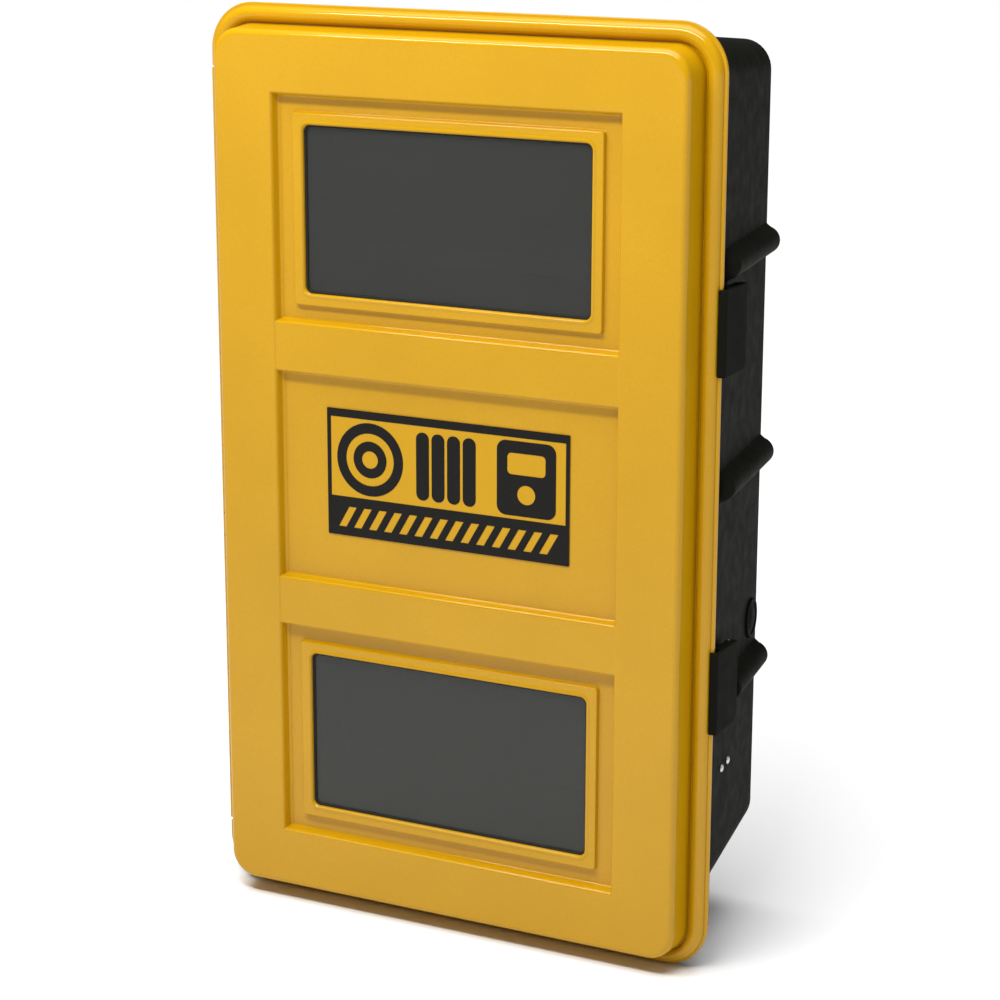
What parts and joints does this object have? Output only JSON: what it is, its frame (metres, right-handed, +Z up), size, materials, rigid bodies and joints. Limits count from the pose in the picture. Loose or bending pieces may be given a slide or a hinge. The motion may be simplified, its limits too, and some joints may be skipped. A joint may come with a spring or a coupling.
{
  "type": "respirator storage cabinet",
  "caption": "Wall cabinet that stores a powered air respirator: deep moulded body, raised door with tinted windows on a long hinge, and lever latches.",
  "frame": {"origin": "on the flat back of the cabinet, at mid width, level with the middle of the door's recesses", "axes": "+Z up, +Y into the wall the cabinet hangs on, so the door faces -Y; +X towards the latches"},
  "size_m": [0.562, 0.223, 0.9198],
  "materials": {
    "yellow_plastic": "moulded, semi-gloss with a fine grain",
    "black_plastic": "moulded, grained satin",
    "rubber": "matt",
    "tinted_pane": "smoke-tinted, polished",
    "steel": "zinc plated",
    "label": "printed film"
  },
  "bodies": {
    "cabinet": {"cabinet_body": "black_plastic", "upper_shelf": "black_plastic", "lower_shelf": "black_plastic", "blanking_plug": "black_plastic", "rivet_backing_strip": "steel", "side_rivet_front": "steel", "side_rivet_rear": "steel", "hinge_leaf_body": "steel", "hinge_pin": "steel", "body_hinge_rivet_1": "steel", "body_hinge_rivet_2": "steel", "body_hinge_rivet_3": "steel", "body_hinge_rivet_4": "steel", "body_hinge_rivet_5": "steel", "upper_latch_base": "black_plastic", "upper_latch_pin": "steel", "upper_latch_rivet_1": "steel", "upper_latch_rivet_2": "steel", "lower_latch_base": "black_plastic", "lower_latch_pin": "steel", "lower_latch_rivet_1": "steel", "lower_latch_rivet_2": "steel"},
    "door": {"door_shell": "yellow_plastic", "door_seal": "rubber", "label_plate": "label", "hinge_leaf_door": "steel", "door_hinge_rivet_1": "steel", "door_hinge_rivet_2": "steel", "door_hinge_rivet_3": "steel", "door_hinge_rivet_4": "steel", "door_hinge_rivet_5": "steel", "upper_window_pane": "tinted_pane", "upper_window_gasket": "rubber", "upper_window_retainer": "black_plastic", "upper_retainer_screw_1": "steel", "upper_retainer_screw_2": "steel", "upper_retainer_screw_3": "steel", "upper_retainer_screw_4": "steel", "lower_window_pane": "tinted_pane", "lower_window_gasket": "rubber", "lower_window_retainer": "black_plastic", "lower_retainer_screw_1": "steel", "lower_retainer_screw_2": "steel", "lower_retainer_screw_3": "steel", "lower_retainer_screw_4": "steel"},
    "upper_latch": {"upper_latch_lever": "black_plastic"},
    "lower_latch": {"lower_latch_lever": "black_plastic"}
  },
  "joints": [
    {"name": "door_hinge", "type": "hinge", "parent": "cabinet", "child": "door", "pos_m": [-0.2732, -0.1821, 0], "axis": [0, 0, -1], "range_deg": [0, 175]},
    {"name": "upper_latch_swing", "type": "hinge", "parent": "cabinet", "child": "upper_latch", "pos_m": [0.2705, -0.144, 0.1785], "axis": [0, 0, 1], "range_deg": [0, 95]},
    {"name": "lower_latch_swing", "type": "hinge", "parent": "cabinet", "child": "lower_latch", "pos_m": [0.2705, -0.144, -0.1705], "axis": [0, 0, 1], "range_deg": [0, 95]}
  ]
}
